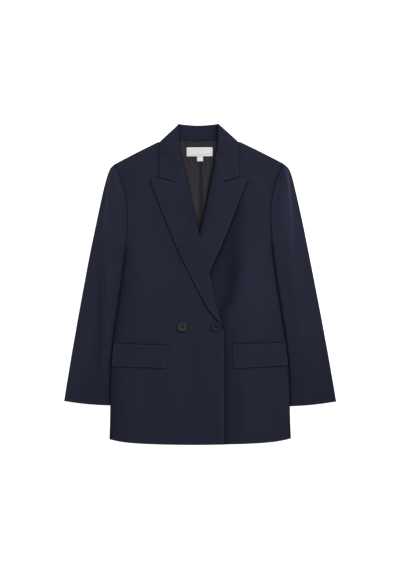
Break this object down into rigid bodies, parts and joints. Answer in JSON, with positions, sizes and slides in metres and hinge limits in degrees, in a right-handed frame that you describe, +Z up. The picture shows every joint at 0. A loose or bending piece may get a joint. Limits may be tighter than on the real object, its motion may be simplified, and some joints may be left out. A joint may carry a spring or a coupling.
{
  "type": "double breasted blazer",
  "caption": "Double breasted blazer with peak lapels and flap pockets, laid flat on its back with its sleeves at its sides.",
  "frame": {"origin": "centre of the garment's outline on the surface that it lies on", "axes": "+X towards the wearer's left side, +Y from the hem to the collar, +Z up out of the surface"},
  "size_m": [0.6666, 0.7849, 0.0143],
  "materials": {
    "navy_suiting": "matt navy wool suiting",
    "charcoal_lining": "charcoal lining twill",
    "label_satin": "white woven satin",
    "button_plastic": "dark semi-matt"
  },
  "bodies": {
    "root": {"back": "navy_suiting", "back_lining": "charcoal_lining", "neck_label": "label_satin", "size_tab": "label_satin", "front_right": "navy_suiting", "lapel_right": "navy_suiting", "sleeve_upper_right": "navy_suiting", "sleeve_under_right": "navy_suiting", "front_left": "navy_suiting", "lapel_left": "navy_suiting", "sleeve_upper_left": "navy_suiting", "sleeve_under_left": "navy_suiting", "collar_fall": "navy_suiting", "collar_stand": "navy_suiting", "flap_right": "navy_suiting", "jet_right": "navy_suiting", "flap_left": "navy_suiting", "jet_left": "navy_suiting", "button_outer": "button_plastic", "button_inner": "button_plastic"}
  },
  "joints": []
}
